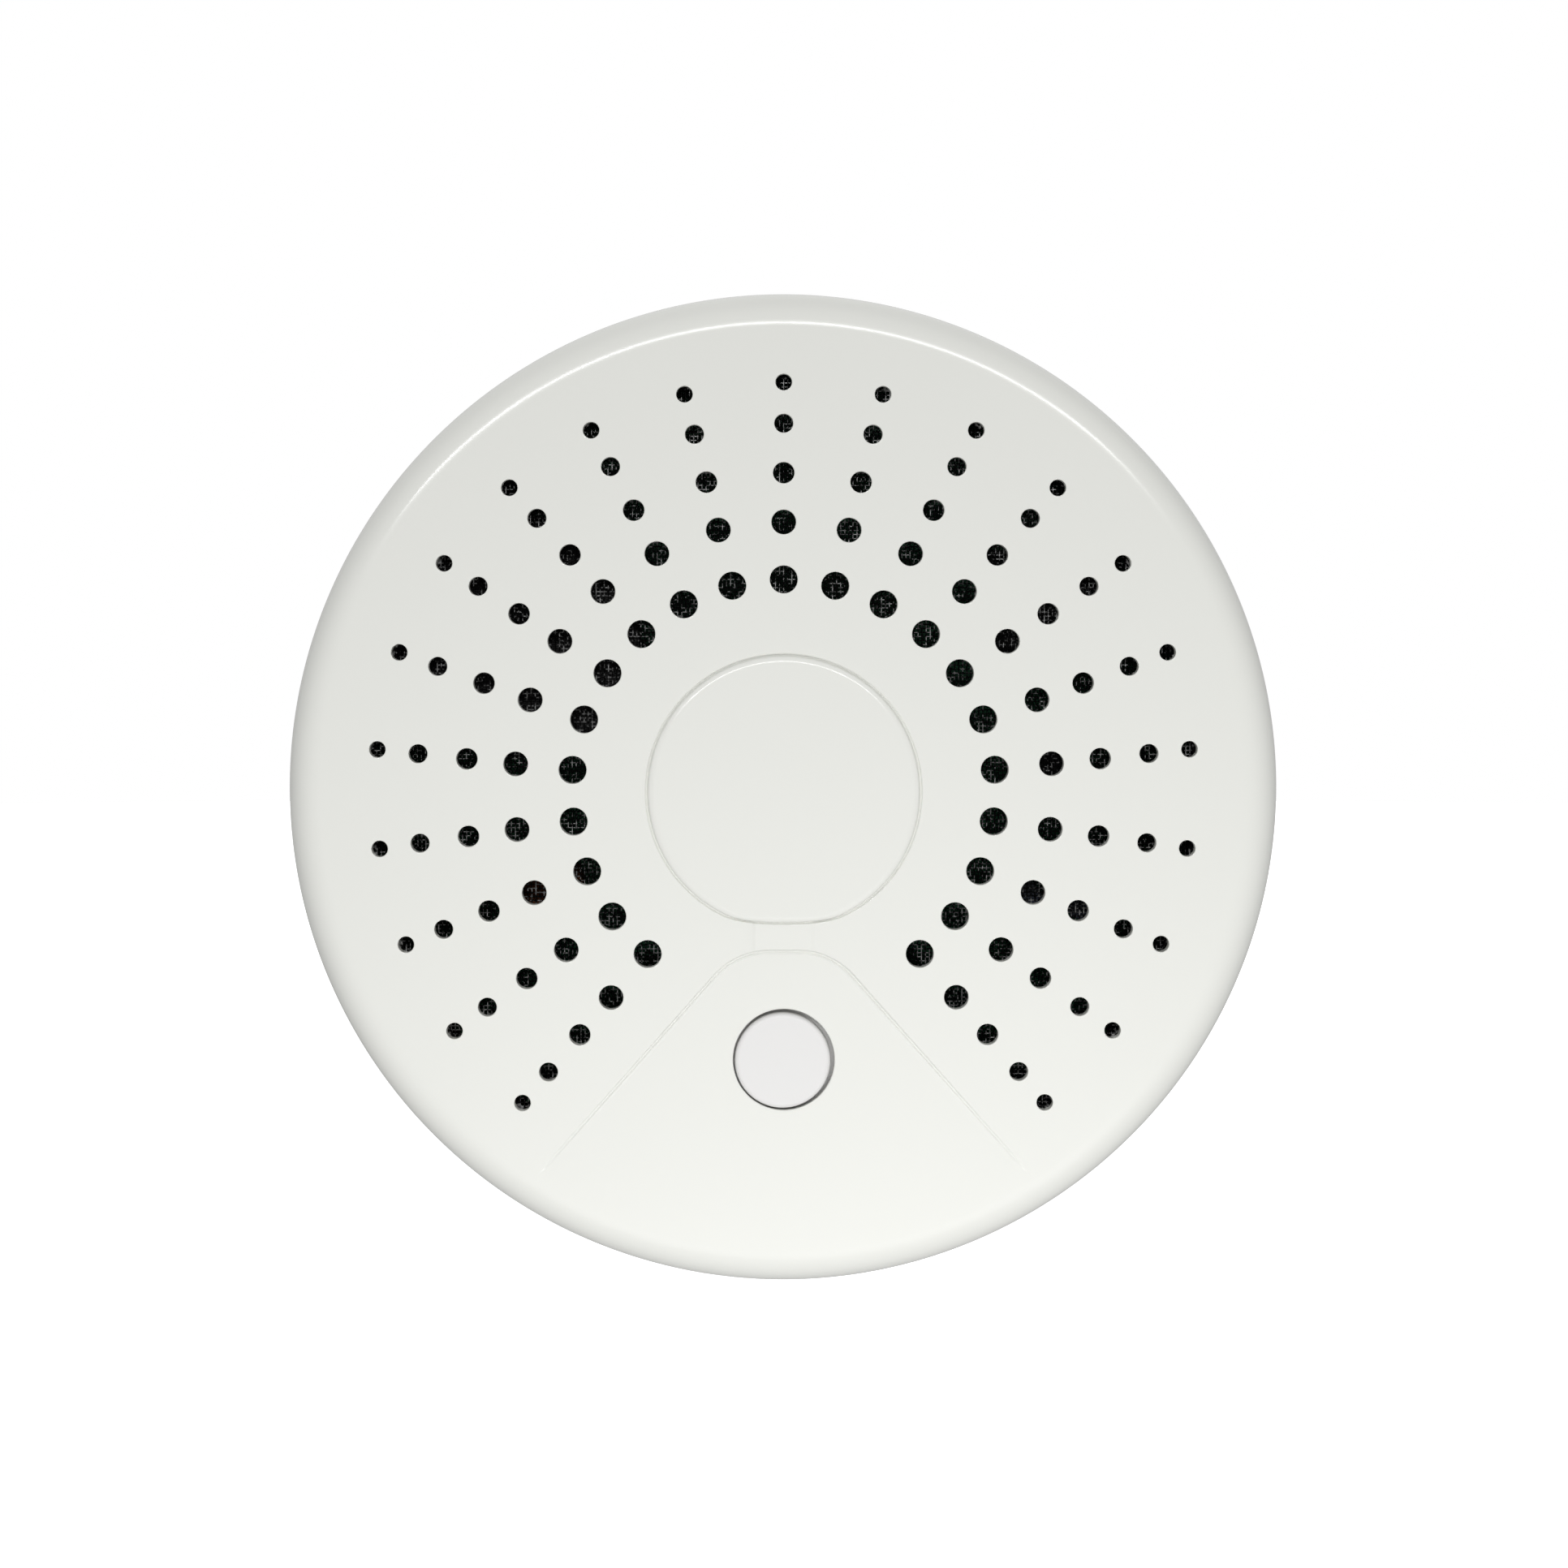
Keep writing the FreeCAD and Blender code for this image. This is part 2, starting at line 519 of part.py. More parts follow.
def lengthwise(name, radius, length, direction, start, y):
    """A cylinder along the bay from start, which is measured towards the cell's positive end."""
    turn = 0.0 if direction > 0 else 180.0
    return lying(name, radius, length, f"{direction} * ({start})", y, "cell_axis", turn)


def battery_cells():
    return fuse("battery_cells", [
        lengthwise(f"cell_{index}", "cell_radius", "cell_long - nub_long - cell_end", direction,
                   "bay_half_long - plate_thick - cell_long + cell_end", y)
        for index, (direction, y) in enumerate(cell_rows())])


def battery_terminals():
    pieces = []
    for index, (direction, y) in enumerate(cell_rows()):
        positive = "bay_half_long - plate_thick - nub_long"
        pieces.append(lengthwise(f"nub_{index}", "nub_radius", "nub_long", direction, positive, y))
        pieces.append(lengthwise(f"negative_{index}", "cell_radius - 1", "cell_end", direction,
                                 "bay_half_long - plate_thick - cell_long", y))
    return fuse("battery_terminals", pieces)


def battery_springs():
    pieces = []
    room = "2 * bay_half_long - 2 * plate_thick - cell_long"
    for index, (direction, y) in enumerate(cell_rows()):
        for turn in range(3):
            start = f"-bay_half_long + plate_thick + ({room}) * {turn} / 3"
            outer = lengthwise(f"coil_{index}_{turn}", f"contact_half - {0.5 * turn}", f"({room}) / 3 - 0.3",
                               direction, start, y)
            pieces.append(outer)
        core = lengthwise(f"coil_core_{index}", "nub_radius - 0.6", room, direction,
                          "-bay_half_long + plate_thick", y)
        pieces.append(core)
    return fuse("battery_springs", pieces)


def battery_contacts():
    """A bridge across both cells at the left, and a separate plate for each cell at the right."""
    pieces = []
    low = "cell_axis - contact_half"
    tall = "2 * contact_half"
    edge = "bay_half_long - plate_thick / 2"
    pieces.append(box("bridge", "plate_thick", "cell_pitch + 2 * contact_half", tall, f"-({edge})", "0", low))
    for index, (_, y) in enumerate(cell_rows()):
        pieces.append(box(f"plate_{index}", "plate_thick", "2 * contact_half", tall, edge, y, low))
        for side, sign in (("left", "-"), ("right", "")):
            pieces.append(box(f"tab_{side}_{index}", "plate_thick", "2 * tab_half",
                              "board_low - cell_axis - contact_half + 0.5", f"{sign}({edge})", y,
                              "cell_axis + contact_half - 0.5"))
    return fuse("battery_contacts", pieces)


# ---- circuit board and what is soldered to it ----

def circuit_board():
    body = new_body("circuit_board")
    pad(body, circle(sketch(body, "board_outline", lift="board_low"), "board_radius"), "board_thick")
    holes = sketch(body, "board_holes")
    for x, y in spots("board_screw_circle", "board_screw_first", SCREW_COUNT):
        circle(holes, "column_hole", x, y)
    pocket(body, holes)
    return body


def radio_module():
    base = box("radio_base", "radio_long", "radio_wide", "radio_thick", "radio_x", "radio_y", BOARD_TOP)
    can = box("radio_can_box", "radio_can", "radio_can", "radio_can_tall", "radio_x - 2", "radio_y",
              f"{BOARD_TOP} + radio_thick")
    return fuse("radio_module", [base, can])


def microcontroller():
    return box("microcontroller", "chip_side", "chip_side", "chip_tall", "chip_x", "chip_y", BOARD_TOP,
               stand=True)


def capacitors():
    return fuse("capacitors", [cylinder(f"capacitor_{index}", radius, tall, x, y, BOARD_TOP)
                               for index, (x, y, radius, tall) in enumerate(CAPACITORS)])


def siren_coil():
    floor = cylinder("coil_floor", "coil_flange", "coil_flange_thick", "coil_x", "coil_y", BOARD_TOP)
    winding = cylinder("coil_winding", "coil_radius", "coil_tall", "coil_x", "coil_y", BOARD_TOP)
    top = cylinder("coil_top", "coil_flange", "coil_flange_thick", "coil_x", "coil_y",
                   f"{BOARD_TOP} + coil_tall")
    return fuse("siren_coil", [floor, winding, top])


def status_led():
    rim = cylinder("led_rim_disc", "led_rim", "led_rim_tall", "led_x", "button_y", BOARD_TOP)
    post = cylinder("led_body", "optic_radius", "led_tall", "led_x", "button_y", BOARD_TOP)
    dome = ball("led_dome", "optic_radius", "led_x", "button_y", f"{BOARD_TOP} + led_tall")
    return fuse("status_led", [rim, post, dome])


def ball(name, radius, x, y, z):
    made = doc.addObject("Part::Sphere", name)
    bind(made, Radius=radius)
    return place(made, x, y, z)


# ---- smoke chamber ----
def chamber_base():
    body = new_body("chamber_base")
    pad(body, circle(sketch(body, "chamber_floor_circle", lift=BOARD_TOP), "chamber_radius"), "chamber_floor")
    leads = sketch(body, "lead_holes")
    for azimuth in ("emitter_at", "receiver_at"):
        circle(leads, "lead_hole", *polar("lead_distance", azimuth))
    pocket(body, leads)
    vane = polygon(sketch(body, "vane", lift=f"{BOARD_TOP} + chamber_floor - 0.2"), [
        ("vane_in", "-vane_half"), ("vane_out", "vane_slant - vane_half"),
        ("vane_out", "vane_slant + vane_half"), ("vane_in", "vane_half")])
    repeat(body, "vanes", [pad(body, vane, "chamber_top - board_low - board_thick - chamber_floor + 0.2")],
           "vane_count")
    return body


def chamber_screen():
    low = f"{BOARD_TOP} + chamber_floor"
    return ring("chamber_screen", "chamber_radius", "chamber_radius - screen_thick",
                "chamber_top - board_low - board_thick - chamber_floor", z=low)


def chamber_cover():
    return cylinder("chamber_cover", "chamber_radius + 0.4", "lid_thick", "0", "0", "chamber_top", stand=True)


def optic(name, azimuth):
    """A round-nosed lamp or sensor on its side, pointing at the chamber's centre, on two bent leads."""
    inward = measure(azimuth) + 180
    x, y = polar("optic_far", azimuth)
    barrel = lying(f"{name}_barrel", "optic_radius", "optic_long", x, y, "optic_z", inward)
    nose = ball(f"{name}_nose", "optic_radius", *polar("optic_far - optic_long", azimuth), "optic_z")
    leads = []
    for side in (-1, 1):
        turn = f"{azimuth} + {side} * asin(lead_pitch / 2 / lead_distance) / 1 deg"
        leads.append(cylinder(f"{name}_lead_{side + 1}", "lead_radius", "optic_z - board_low - board_thick",
                              *polar("lead_distance", turn), BOARD_TOP))
    return fuse(name, [barrel, nose, *leads])


def infrared_emitter():
    return optic("infrared_emitter", "emitter_at")


def photodiode():
    return optic("photodiode", "receiver_at")


def receiver_shield():
    inward = measure("receiver_at") + 180
    x, y = polar("optic_far - 1.2", "receiver_at")
    return cut("receiver_shield",
               lying("shield_outside", "shield_radius", "shield_long", x, y, "optic_z", inward),
               lying("shield_inside", "optic_radius", "shield_long", x, y, "optic_z", inward))


# ---- sounder ----
def sounder_ring(name, outer, inner, low, high):
    return ring(name, outer, inner, f"{high} - ({low})", "sounder_x", "sounder_y", low, stand=False)


def siren_housing():
    inner = "sounder_radius - sounder_wall"
    wall = sounder_ring("sounder_wall_ring", "sounder_radius", inner, BOARD_TOP, "sounder_top")
    ledge = sounder_ring("sounder_ledge_ring", f"{inner} + 0.2", f"{inner} - ledge_wide", BOARD_TOP,
                         "sounder_ledge")
    return fuse("siren_housing", [wall, ledge])


def piezo_disc():
    return cylinder("piezo_disc", "sounder_radius - sounder_wall", "disc_thick", "sounder_x", "sounder_y",
                    "sounder_ledge", stand=True)


def piezo_ceramic():
    return cylinder("piezo_ceramic", "ceramic_radius", "ceramic_thick", "sounder_x", "sounder_y",
                    "sounder_ledge + disc_thick", stand=True)


def siren_cap():
    whole = sounder_disc("cap_disc", "sounder_radius")
    return cut("siren_cap", whole, sounder_disc("cap_hole", "sound_hole"))


def sounder_disc(name, radius):
    return cylinder(name, radius, "lid_top - sounder_top", "sounder_x", "sounder_y", "sounder_top")


# ---- screws ----
def screws(name, circle_radius, first, seat, shank, upwards):
    """Three cross-head screws. Their shanks run up from the seat if upwards, else down."""
    pieces = []
    heads = []
    for index, (x, y) in enumerate(spots(circle_radius, first, SCREW_COUNT)):
        low, head, slot = seat, f"{seat} - head_tall", f"{seat} - head_tall"
        if not upwards:
            low, head, slot = f"{seat} - ({shank})", seat, f"{seat} + head_tall - socket_deep"
        pieces.append(cylinder(f"{name}_shank_{index}", "screw_radius", shank, x, y, low))
        pieces.append(cylinder(f"{name}_head_{index}", "head_radius", "head_tall", x, y, head))
        heads.append(box(f"{name}_slot_a_{index}", "2.6", "socket_wide", "socket_deep", x, y, slot))
        heads.append(box(f"{name}_slot_b_{index}", "socket_wide", "2.6", "socket_deep", x, y, slot))
    return cut(name, fuse(f"{name}_solid", pieces, stand=False), fuse(f"{name}_slots", heads, stand=False))


def cover_screws():
    return screws("cover_screws", "cover_screw_circle", "cover_screw_first", "column_seat", "11", True)


def board_screws():
    return screws("board_screws", "board_screw_circle", "board_screw_first", BOARD_TOP, "9", False)


PIECES = (
    mounting_bracket, rear_housing, front_cover, insect_mesh, test_button, button_spring, switch_body,
    switch_plunger, battery_door, door_pad, battery_cells, battery_terminals, battery_springs,
    battery_contacts, circuit_board, radio_module, microcontroller, capacitors, siren_coil, status_led,
    chamber_base, chamber_screen, chamber_cover, infrared_emitter, photodiode, receiver_shield,
    siren_housing, piezo_disc, piezo_ceramic, siren_cap, cover_screws, board_screws,
)

finished = [make_piece() for make_piece in PIECES]
doc.recompute()

for item in doc.Objects:
    if "Invalid" in item.State or "Error" in item.State:
        raise RuntimeError(f"{item.Label} did not compute: {item.State}")

os.makedirs("parts", exist_ok=True)
for item in finished:
    if item.Shape.isNull() or not item.Shape.isValid():
        raise RuntimeError(f"{item.Label} has no valid shape")
    item.Shape.exportStep(f"parts/{item.Label}.step")
    print(item.Label, len(item.Shape.Solids), "solid(s)", round(item.Shape.Volume, 1), "cubic mm")
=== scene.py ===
"""Looks of the smoke detector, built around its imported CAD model.

Lengths are in millimetres in a local frame where the detector lies face up: x to the right, y up on the face
and w the distance from the wall. The studio's lengths are in metres in the row frame.
"""
import json
import math

import bpy
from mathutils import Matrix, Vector
from mathutils.geometry import delaunay_2d_cdt

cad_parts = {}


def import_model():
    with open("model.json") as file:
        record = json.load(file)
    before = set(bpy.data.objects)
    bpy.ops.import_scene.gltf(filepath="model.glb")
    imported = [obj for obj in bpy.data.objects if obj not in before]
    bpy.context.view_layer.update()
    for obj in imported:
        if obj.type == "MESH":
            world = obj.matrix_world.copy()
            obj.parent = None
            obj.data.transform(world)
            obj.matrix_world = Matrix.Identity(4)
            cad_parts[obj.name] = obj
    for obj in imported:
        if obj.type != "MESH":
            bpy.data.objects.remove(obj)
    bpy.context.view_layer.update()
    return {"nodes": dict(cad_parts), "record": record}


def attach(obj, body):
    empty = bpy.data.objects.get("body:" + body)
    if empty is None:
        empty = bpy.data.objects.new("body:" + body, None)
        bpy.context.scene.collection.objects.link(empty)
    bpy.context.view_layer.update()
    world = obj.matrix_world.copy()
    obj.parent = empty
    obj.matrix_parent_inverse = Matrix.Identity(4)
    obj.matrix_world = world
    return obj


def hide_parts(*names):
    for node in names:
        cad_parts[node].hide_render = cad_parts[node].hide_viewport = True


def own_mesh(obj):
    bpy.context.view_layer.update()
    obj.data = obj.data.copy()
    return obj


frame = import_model()
NODES = frame["nodes"]

MM = 0.001
MICROMETRE = 1e-6
FULL_TURN = 2 * math.pi

# ---- the front cover's shell, as in the CAD model ----
FRONT = 36.0
WALL = 2.0
BOTTOM = FRONT - WALL
CASE_RADIUS = 61.5
FACE_RADIUS = 60.7
FACE_ROUND = 4.0
FLAT_RADIUS = FACE_RADIUS - FACE_ROUND
INSIDE_RADIUS = 57.9
INSIDE_ROUND = 2.5
CORNER_STEPS = 4
FLAT_INSIDE = INSIDE_RADIUS - INSIDE_ROUND
SEAM = 22.0
SEAM_GAP = 0.3
TONGUE = 1.6
TONGUE_RADIUS = 59.2
RIM_SEGMENTS = 360

# ---- vent holes: rings of (radius, hole diameter), on evenly turned spokes ----
RINGS = ((26.0, 3.4), (33.0, 3.0), (39.0, 2.6), (45.0, 2.3), (50.0, 2.0))
SPOKES = 21
SPOKE_STEP = math.radians(14.0)
SPOKE_FIRST = math.radians(-50.0)
HOLE_LIP = 0.15
HOLE_SEGMENTS = 28
LIP_STEPS = 4
WALL_EDGE = 0.1  # height of the last ring of a hole's wall above the inside face

# ---- the raised disc: a circle with a flat lower edge and a rounded shoulder ----
DISC_RADIUS = 16.8
DISC_FLAT = -16.2
DISC_CORNER = 1.0
DISC_RISE = 0.45
SHOULDER = 1.4
SHOULDER_WIDTH = math.sqrt(2 * SHOULDER * DISC_RISE - DISC_RISE ** 2)

# ---- the neck between the disc and the wedge ----
NECK_HALF = 3.8
NECK_RISE = 0.12
NECK_LOW = -20.2
NECK_HIGH = -14.5
NECK_STEPS = 12
STEP_WIDTH = 0.5  # of the neck's step and of the wedge's

# ---- the sunk wedge, which slopes back up to the face at its foot ----
WEDGE_TOP = -19.6
WEDGE_HALF = 5.8
WEDGE_ANGLE = math.radians(41.5)
WEDGE_FOOT = -46.55
WEDGE_SLOPE = math.tan(math.radians(0.96))
WEDGE_CORNER = 9.0
WEDGE_INSIDE = (0.0, -36.0)
FOOT_STEPS = 20
RIM_MARGIN = 0.3

# ---- the fine moulded lines along the disc's and the wedge's outlines ----
GROOVE_HALF = 0.27
GROOVE_DEPTH = 0.33
WEDGE_GROOVE = 1.4  # the wedge's line is that much deeper than the disc's, and fades towards its foot
GROOVE_LEVELS = (-0.33, -0.27, -0.2, -0.13, -0.06, 0.0, 0.06, 0.13, 0.2, 0.27)
DISC_LEVELS = GROOVE_LEVELS + (0.35, 0.45, 0.6, 0.75, 0.9, SHOULDER_WIDTH)
WEDGE_LEVELS = GROOVE_LEVELS + (0.38, STEP_WIDTH, 0.56)
NECK_LEVELS = (0.0, 0.1, 0.2, 0.35, STEP_WIDTH)
DISC_POINTS = 240
WEDGE_POINTS = 300
HALVINGS = 40

# ---- the test button, a loose cap that rests a little to the lower left of its opening's centre ----
BUTTON_Y = -33.0
BUTTON_HOLE = 6.25
BUTTON_LIP = 0.18
BUTTON_SEGMENTS = 96
CAP_RADIUS = 5.9
CAP_TOP = 35.8
CAP_ROUND = 0.6
CAP_SLACK = (-0.14, -0.13)
FLANGE_RADIUS = 7.6
FLANGE_LOW = 32.6
FLANGE_HIGH = 33.7
STEM_RADIUS = 2.2
STEM_LOW = 27.5
AXIS_RADIUS = 0.02  # the profile ends in this small ring, which a flat cap closes

# ---- the coil under it, which stands on the circuit board ----
SPRING_LOW = 22.9
SPRING_HIGH = 32.3
SPRING_MEAN = 5.4
SPRING_WIRE = 0.29
SPRING_TURNS = 6
TURN_STEPS = 36
SPRING_SIDES = 12

# ---- the insect mesh: two layers of crossed wires, with a window for the button ----
MESH_TOP = 34.0
MESH_GAP = 0.02  # to the inside of the cover
MESH_PITCH = 0.5
MESH_IN = 23.0
MESH_OUT = 51.6
MESH_WINDOW = 8.4
MESH_RINGS = ((MESH_OUT - 1.0, MESH_OUT), (MESH_IN, MESH_IN + 0.9))
MESH_RING_LOW = MESH_TOP - 0.38
MESH_RING_SEGMENTS = 180
WIRE = 0.15
WIRE_SIDES = 6
SHORTEST_WIRE = 0.2  # shorter stretches are left out

# ---- the camera ----
FACE_CENTRE = Vector((0.0, -FRONT * MM, 0.0))
CAMERA_DISTANCE = 0.45
CAMERA_RISE = math.radians(3.2)
CAMERA_SIDE = math.radians(-0.45)
CAMERA_AIM = FACE_CENTRE + Vector((0.00003, 0.0, 0.00098))
LENS = 84.35
SENSOR = 36.0

# ---- area lights: name, place, (width, height), watts, and whether glossy surfaces reflect them ----
LIGHTS = (
    ("strip", (-0.03, -0.79, 0.27), (0.7, 0.03), 2.2, True),
    ("low", (0.02, -0.2, -0.12), (0.2, 0.08), 0.235, False),
    ("back", (0.1, 0.9, 0.45), (0.5, 0.5), 3.0, False),
)

# ---- the room's light, by direction, and the floor's painted glow, by distance from its spot of painted shade ----
ROOM_FRONT = 0.32
ROOM_BEHIND = 0.66
ROOM_OVERHEAD = 0.55
FLOOR_LEVEL = -0.35
FLOOR_RADIUS = 6.0
FLOOR_SEGMENTS = 96
FLOOR_COLOUR = (0.85, 0.85, 0.85)
FLOOR_PAINTED_GLOW = 0.75
FLOOR_PAINTED_SHADE_Y = -0.3
FLOOR_PAINTED_SHADE_NEAR = 0.2
FLOOR_PAINTED_SHADE_FAR = 1.15
BACKDROP_WHITE = (1.0, 1.0, 1.0, 1.0)


# ================================================================ mesh building
def add_to_scene(name, data):
    made = bpy.data.objects.new(name, data)
    bpy.context.scene.collection.objects.link(made)
    return made


class Surface:
    """Points in the local frame with their normals, and faces that turn anticlockwise seen from outside."""

    def __init__(self):
        self.points = []
        self.normals = []
        self.faces = []

    def add(self, x, y, w, normal=None):
        self.points.append((x, y, w))
        self.normals.append(normal)
        return len(self.points) - 1

    def ring(self, centre, radius, w, segments, slope=None):
        """A level circle. slope is its normal's (outward, upward) parts."""
        made = []
        for index in range(segments):
            turn = FULL_TURN * index / segments
            normal = slope and (slope[0] * math.cos(turn), slope[0] * math.sin(turn), slope[1])
            made.append(self.add(centre[0] + radius * math.cos(turn), centre[1] + radius * math.sin(turn),
                                 w, normal))
        return made

    def bridge(self, near, far):
        """Quads from one ring to the next along a profile that has the solid on its left."""
        for index in range(len(near)):
            after = (index + 1) % len(near)
            self.faces.append((near[index], near[after], far[after], far[index]))

    def lathe(self, profile, segments, centre=(0.0, 0.0), first=None, last=None):
        """Turn a profile of (radius, w, slope) round an upright axis.

        first and last are rings that are already there. Returns the two end rings.
        """
        rings = [self.ring(centre, radius, w, segments, slope) for radius, w, slope in profile]
        rings = ([first] if first else []) + rings + ([last] if last else [])
        for near, far in zip(rings, rings[1:]):
            self.bridge(near, far)
        return rings[0], rings[-1]

    def close(self, ring, upward):
        """A flat cap on a ring."""
        self.faces.append(tuple(ring if upward else reversed(ring)))

    def finish(self, name, material, sharp=30.0):
        """The Blender object. sharp is the angle in degrees from which an edge stays hard."""
        mesh = bpy.data.meshes.new(name)
        mesh.from_pydata([(x * MM, -w * MM, y * MM) for x, y, w in self.points], [], self.faces)
        mesh.polygons.foreach_set("use_smooth", [True] * len(mesh.polygons))
        mesh.set_sharp_from_angle(angle=math.radians(sharp))
        if any(self.normals):
            given = [(n[0], -n[2], n[1]) if n else (0.0, 0.0, 0.0) for n in self.normals]
            mesh.normals_split_custom_set([given[loop.vertex_index] for loop in mesh.loops])
        mesh.update()
        mesh.materials.append(material)
        return add_to_scene(name, mesh)


def rounded(corners, steps):
    """A profile of (radius, w, slope) with arcs, from corners (radius, w, rounding).

    The solid is on its left. Each arc takes that many steps.
    """
    profile = []
    for index, (r, w, rounding) in enumerate(corners):
        before = Vector(corners[index - 1][:2]) if index else None
        after = Vector(corners[index + 1][:2]) if index + 1 < len(corners) else None
        here = Vector((r, w))
        if before is None or after is None:
            along = (after - here) if before is None else (here - before)
            along.normalize()
            profile.append((r, w, (along.y, -along.x)))
            continue
        come = (here - before).normalized()
        go = (after - here).normalized()
        bend = come.angle_signed(go)
        reach = rounding * abs(math.tan(bend / 2))
        start = here - come * reach
        side = Vector((come.y, -come.x)) if bend < 0 else Vector((-come.y, come.x))
        centre = start - side * rounding
        for step in range(steps + 1):
            turn = -bend * step / steps
            spoke = Vector((side.x * math.cos(turn) - side.y * math.sin(turn),
                            side.x * math.sin(turn) + side.y * math.cos(turn)))
            place = centre + spoke * rounding
            outward = spoke if bend < 0 else -spoke
            profile.append((place.x, place.y, (outward.x, outward.y)))
    return profile


def circle_points(centre, radius, segments):
    return [(centre[0] + radius * math.cos(FULL_TURN * index / segments),
             centre[1] + radius * math.sin(FULL_TURN * index / segments)) for index in range(segments)]


# ================================================================ materials
def principled(name, colour, roughness, **sockets):
    made = bpy.data.materials.new(name)
    made.use_nodes = True
    shader = made.node_tree.nodes["Principled BSDF"]
    shader.inputs["Base Color"].default_value = (*colour, 1.0)
    shader.inputs["Roughness"].default_value = roughness
    for socket, value in sockets.items():
        shader.inputs[socket.replace("_", " ")].default_value = value
    return made


def noise_pattern(material, size, detail):
    """A noise whose patches are about that size in millimetres. Returns the socket of its values."""
    nodes = material.node_tree.nodes
    place = nodes.new("ShaderNodeTexCoord")
    noise = nodes.new("ShaderNodeTexNoise")
    noise.inputs["Scale"].default_value = 1.0 / (size * MM)
    noise.inputs["Detail"].default_value = detail
    material.node_tree.links.new(place.outputs["Object"], noise.inputs["Vector"])
    return noise.outputs["Fac"]


def map_range(nodes, **ends):
    """A Map Range node with the given ends, such as From_Min=0.2."""
    made = nodes.new("ShaderNodeMapRange")
    for socket, value in ends.items():
        made.inputs[socket.replace("_", " ")].default_value = value
    return made


def add_grain(material, size, height, detail=2.0):
    """A fine moulded texture: noise of that size in millimetres and that height in micrometres."""
    nodes = material.node_tree.nodes
    links = material.node_tree.links
    bump = nodes.new("ShaderNodeBump")
    bump.inputs["Strength"].default_value = 1.0
    bump.inputs["Distance"].default_value = height * MICROMETRE
    links.new(noise_pattern(material, size, detail), bump.inputs["Height"])
    links.new(bump.outputs["Normal"], nodes["Principled BSDF"].inputs["Normal"])
    return material


def add_painted_glints(material, size, dark, light):
    """Painted glints: patches of that size in millimetres in the base colour, from a dark to a light grey.
    """
    nodes = material.node_tree.nodes
    links = material.node_tree.links
    painted_glint = map_range(nodes, From_Min=0.5, From_Max=0.7, To_Min=dark, To_Max=light)
    links.new(noise_pattern(material, size, 2.0), painted_glint.inputs["Value"])
    links.new(painted_glint.outputs["Result"], nodes["Principled BSDF"].inputs["Base Color"])
    return material


COVER_PLASTIC = add_grain(principled("cover_plastic", (0.775, 0.78, 0.742), 0.17), 0.35, 2.0)
BUTTON_PLASTIC = add_grain(principled("button_plastic", (0.725, 0.72, 0.712), 0.42), 0.3, 3.0)
BACK_PLASTIC = add_grain(principled("back_plastic", (0.78, 0.78, 0.75), 0.5), 0.4, 9.0)
BRACKET_PLASTIC = add_grain(principled("bracket_plastic", (0.74, 0.74, 0.72), 0.55), 0.4, 9.0)
MESH_METAL = add_grain(principled("mesh_metal", (0.02, 0.02, 0.02), 0.45, Metallic=1.0), 0.1, 2.0)
# painted glints on the insect mesh's wires
add_painted_glints(MESH_METAL, 0.6, 0.004, 0.35)
BLACK_PLASTIC = add_grain(principled("black_plastic", (0.012, 0.012, 0.013), 0.6), 0.3, 6.0)
BOARD = add_grain(principled("board", (0.02, 0.13, 0.06), 0.35), 0.8, 3.0, detail=4.0)
CHIP = add_grain(principled("chip", (0.03, 0.03, 0.035), 0.5), 0.15, 3.0)
TIN = add_grain(principled("tin", (0.62, 0.62, 0.63), 0.3, Metallic=1.0), 0.6, 4.0, detail=4.0)
# painted shade: a darkened copy of the tin for the cans inside, which show through the vent holes
TIN_PAINTED_SHADE = add_grain(principled("tin_painted_shade", (0.12, 0.12, 0.12), 0.5, Metallic=1.0), 0.6, 4.0, detail=4.0)
COPPER = add_grain(principled("copper", (0.16, 0.06, 0.025), 0.45, Metallic=0.8), 0.12, 8.0)
CLEAR = add_grain(principled("clear", (0.85, 0.9, 0.95), 0.08, Transmission_Weight=0.9), 1.5, 2.0)
INFRARED_EPOXY = add_grain(principled("infrared_epoxy", (0.05, 0.03, 0.06), 0.15), 1.5, 2.0)
BRASS = add_grain(principled("brass", (0.75, 0.55, 0.22), 0.3, Metallic=1.0), 0.3, 3.0, detail=4.0)
CERAMIC = add_grain(principled("ceramic", (0.72, 0.71, 0.68), 0.35), 0.4, 3.0)
STEEL = add_grain(principled("steel", (0.5, 0.5, 0.52), 0.32, Metallic=1.0), 0.25, 3.0, detail=4.0)
SLEEVE = add_grain(principled("sleeve", (0.05, 0.06, 0.09), 0.3), 2.0, 4.0)
FOAM = add_grain(principled("foam", (0.04, 0.04, 0.04), 0.95), 0.5, 120.0, detail=6.0)
RED_PLASTIC = add_grain(principled("red_plastic", (0.6, 0.05, 0.04), 0.45), 0.3, 4.0)

SLOT_MATERIALS = {
    "white_plastic": COVER_PLASTIC, "button_plastic": BUTTON_PLASTIC, "back_plastic": BACK_PLASTIC,
    "bracket_plastic": BRACKET_PLASTIC, "mesh_metal": MESH_METAL, "black_plastic": BLACK_PLASTIC,
    "screen_metal": MESH_METAL, "board": BOARD, "chip": CHIP, "can_metal": TIN_PAINTED_SHADE,
    "capacitor_sleeve": SLEEVE, "copper_coil": COPPER, "lamp_clear": CLEAR, "lamp_dark": INFRARED_EPOXY,
    "brass": BRASS, "ceramic": CERAMIC, "sounder_plastic": BLACK_PLASTIC, "spring_steel": STEEL,
    "screw_steel": STEEL, "cell_sleeve": SLEEVE, "cell_metal": TIN, "contact_metal": TIN, "foam": FOAM,
    "switch_plastic": CHIP, "plunger_plastic": RED_PLASTIC,
}


